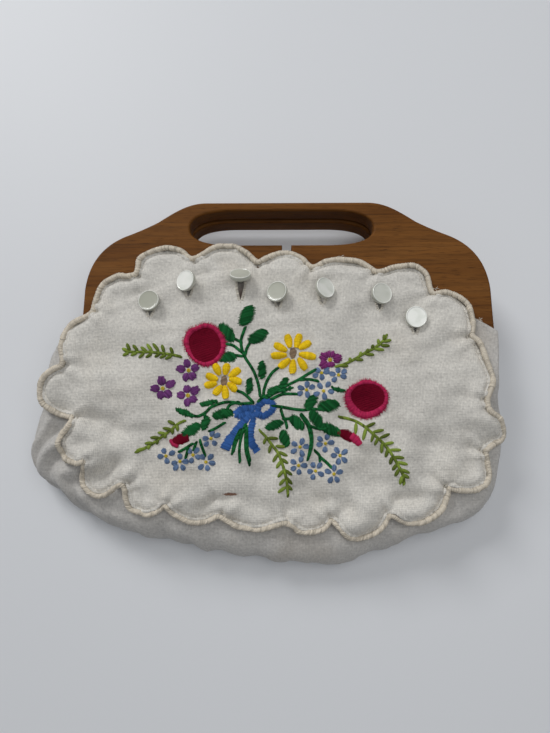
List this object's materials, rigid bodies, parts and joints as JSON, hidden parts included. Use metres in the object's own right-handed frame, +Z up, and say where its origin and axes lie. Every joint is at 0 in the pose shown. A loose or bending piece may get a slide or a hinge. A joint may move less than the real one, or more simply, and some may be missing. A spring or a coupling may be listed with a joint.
{
  "type": "wooden handle bag",
  "caption": "Small handbag lying on its back: two flat wooden handle boards, a cloth pouch, and scalloped corded covers buttoned over both sides.",
  "frame": {"origin": "on the floor, under the middle of the bag's overall box", "axes": "+X across the bag to its right, +Y towards the grip, +Z up out of the embroidered front"},
  "size_m": [0.2966, 0.229, 0.0485],
  "materials": {
    "handle_wood": "satin varnish over fine dark pores",
    "pouch_cloth": "plain linen, greyed with age",
    "cover_linen": "off-white slubby linen",
    "edge_cord": "linen-covered cord, slightly yellowed",
    "button_pearl": "pearly gloss"
  },
  "bodies": {
    "root": {"handle_front": "handle_wood", "handle_back": "handle_wood", "pouch": "pouch_cloth", "cover_front": "cover_linen", "cover_back": "cover_linen", "edge_cord_front": "edge_cord", "edge_cord_back": "edge_cord", "button_front_1": "button_pearl", "button_front_2": "button_pearl", "button_front_3": "button_pearl", "button_front_4": "button_pearl", "button_front_5": "button_pearl", "button_front_6": "button_pearl", "button_front_7": "button_pearl", "button_back_1": "button_pearl", "button_back_2": "button_pearl", "button_back_3": "button_pearl", "button_back_4": "button_pearl", "button_back_5": "button_pearl", "button_back_6": "button_pearl", "button_back_7": "button_pearl"}
  },
  "joints": []
}
